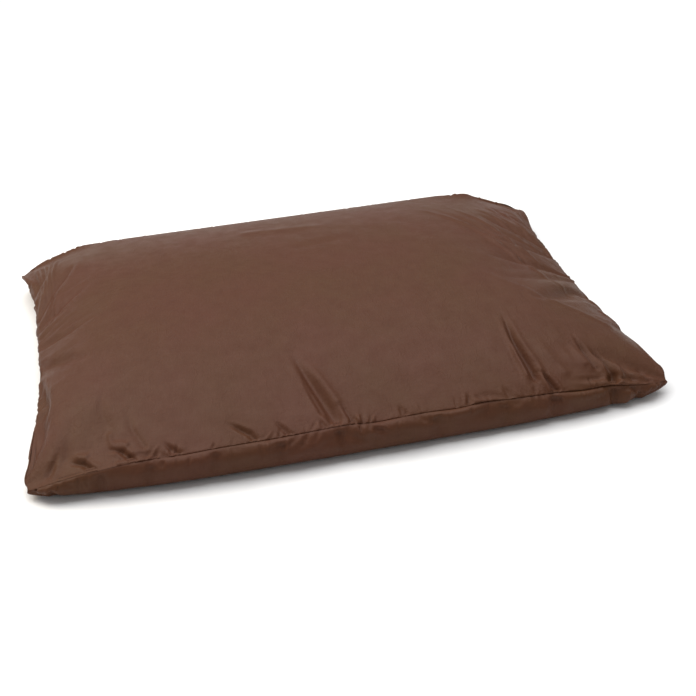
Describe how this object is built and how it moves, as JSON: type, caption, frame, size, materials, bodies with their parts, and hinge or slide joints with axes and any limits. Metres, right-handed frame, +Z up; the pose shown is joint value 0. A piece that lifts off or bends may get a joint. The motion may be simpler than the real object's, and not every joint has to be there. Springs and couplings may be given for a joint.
{
  "type": "pet cushion bed",
  "caption": "Low rectangular pet bed cushion: a zipped brown fabric cover with drawn-out corners over a fibre-filled inner cushion.",
  "frame": {"origin": "on the floor, under the middle of the bed's box", "axes": "+X along the long sides, from the zip's bottom stop towards its closed end; +Y towards the rear side, which holds the zip; +Z up"},
  "size_m": [0.888, 0.6636, 0.128],
  "materials": {
    "cover_fabric": "smooth coated plain weave, slight sheen",
    "cover_thread": "twisted polyester thread",
    "liner_fabric": "matt plain weave",
    "liner_thread": "twisted polyester thread",
    "fibre": "lofted polyester fibre",
    "zip_tape": "herringbone woven tape",
    "zip_plastic": "moulded, satin",
    "zip_metal": "enamelled, satin",
    "label": "blank satin tape"
  },
  "bodies": {
    "cushion": {"cover_top_panel": "cover_fabric", "cover_bottom_panel": "cover_fabric", "cover_seam_needle_thread": "cover_thread", "cover_seam_bobbin_thread": "cover_thread", "liner_top_panel": "liner_fabric", "liner_bottom_panel": "liner_fabric", "liner_overlock_thread": "liner_thread", "fibre_fill": "fibre", "zip_tape_upper": "zip_tape", "zip_tape_lower": "zip_tape", "zip_teeth_upper": "zip_plastic", "zip_teeth_lower": "zip_plastic", "zip_top_stops": "zip_plastic", "zip_bottom_stop": "zip_plastic", "zip_stitching_upper": "cover_thread", "zip_stitching_lower": "cover_thread", "care_label": "label"},
    "slider": {"zip_slider": "zip_metal"},
    "pull": {"zip_pull": "zip_metal"}
  },
  "joints": [
    {"name": "slider_travel", "type": "slide", "parent": "cushion", "child": "slider", "axis": [1, 0, 0], "range_m": [-0.53, 0], "deforming": ["zip_teeth_upper", "zip_teeth_lower"]},
    {"name": "pull_swing", "type": "hinge", "parent": "slider", "child": "pull", "pos_m": [0.265, 0.3301, 0.046], "axis": [0, 0, -1], "range_deg": [0, 160]}
  ]
}
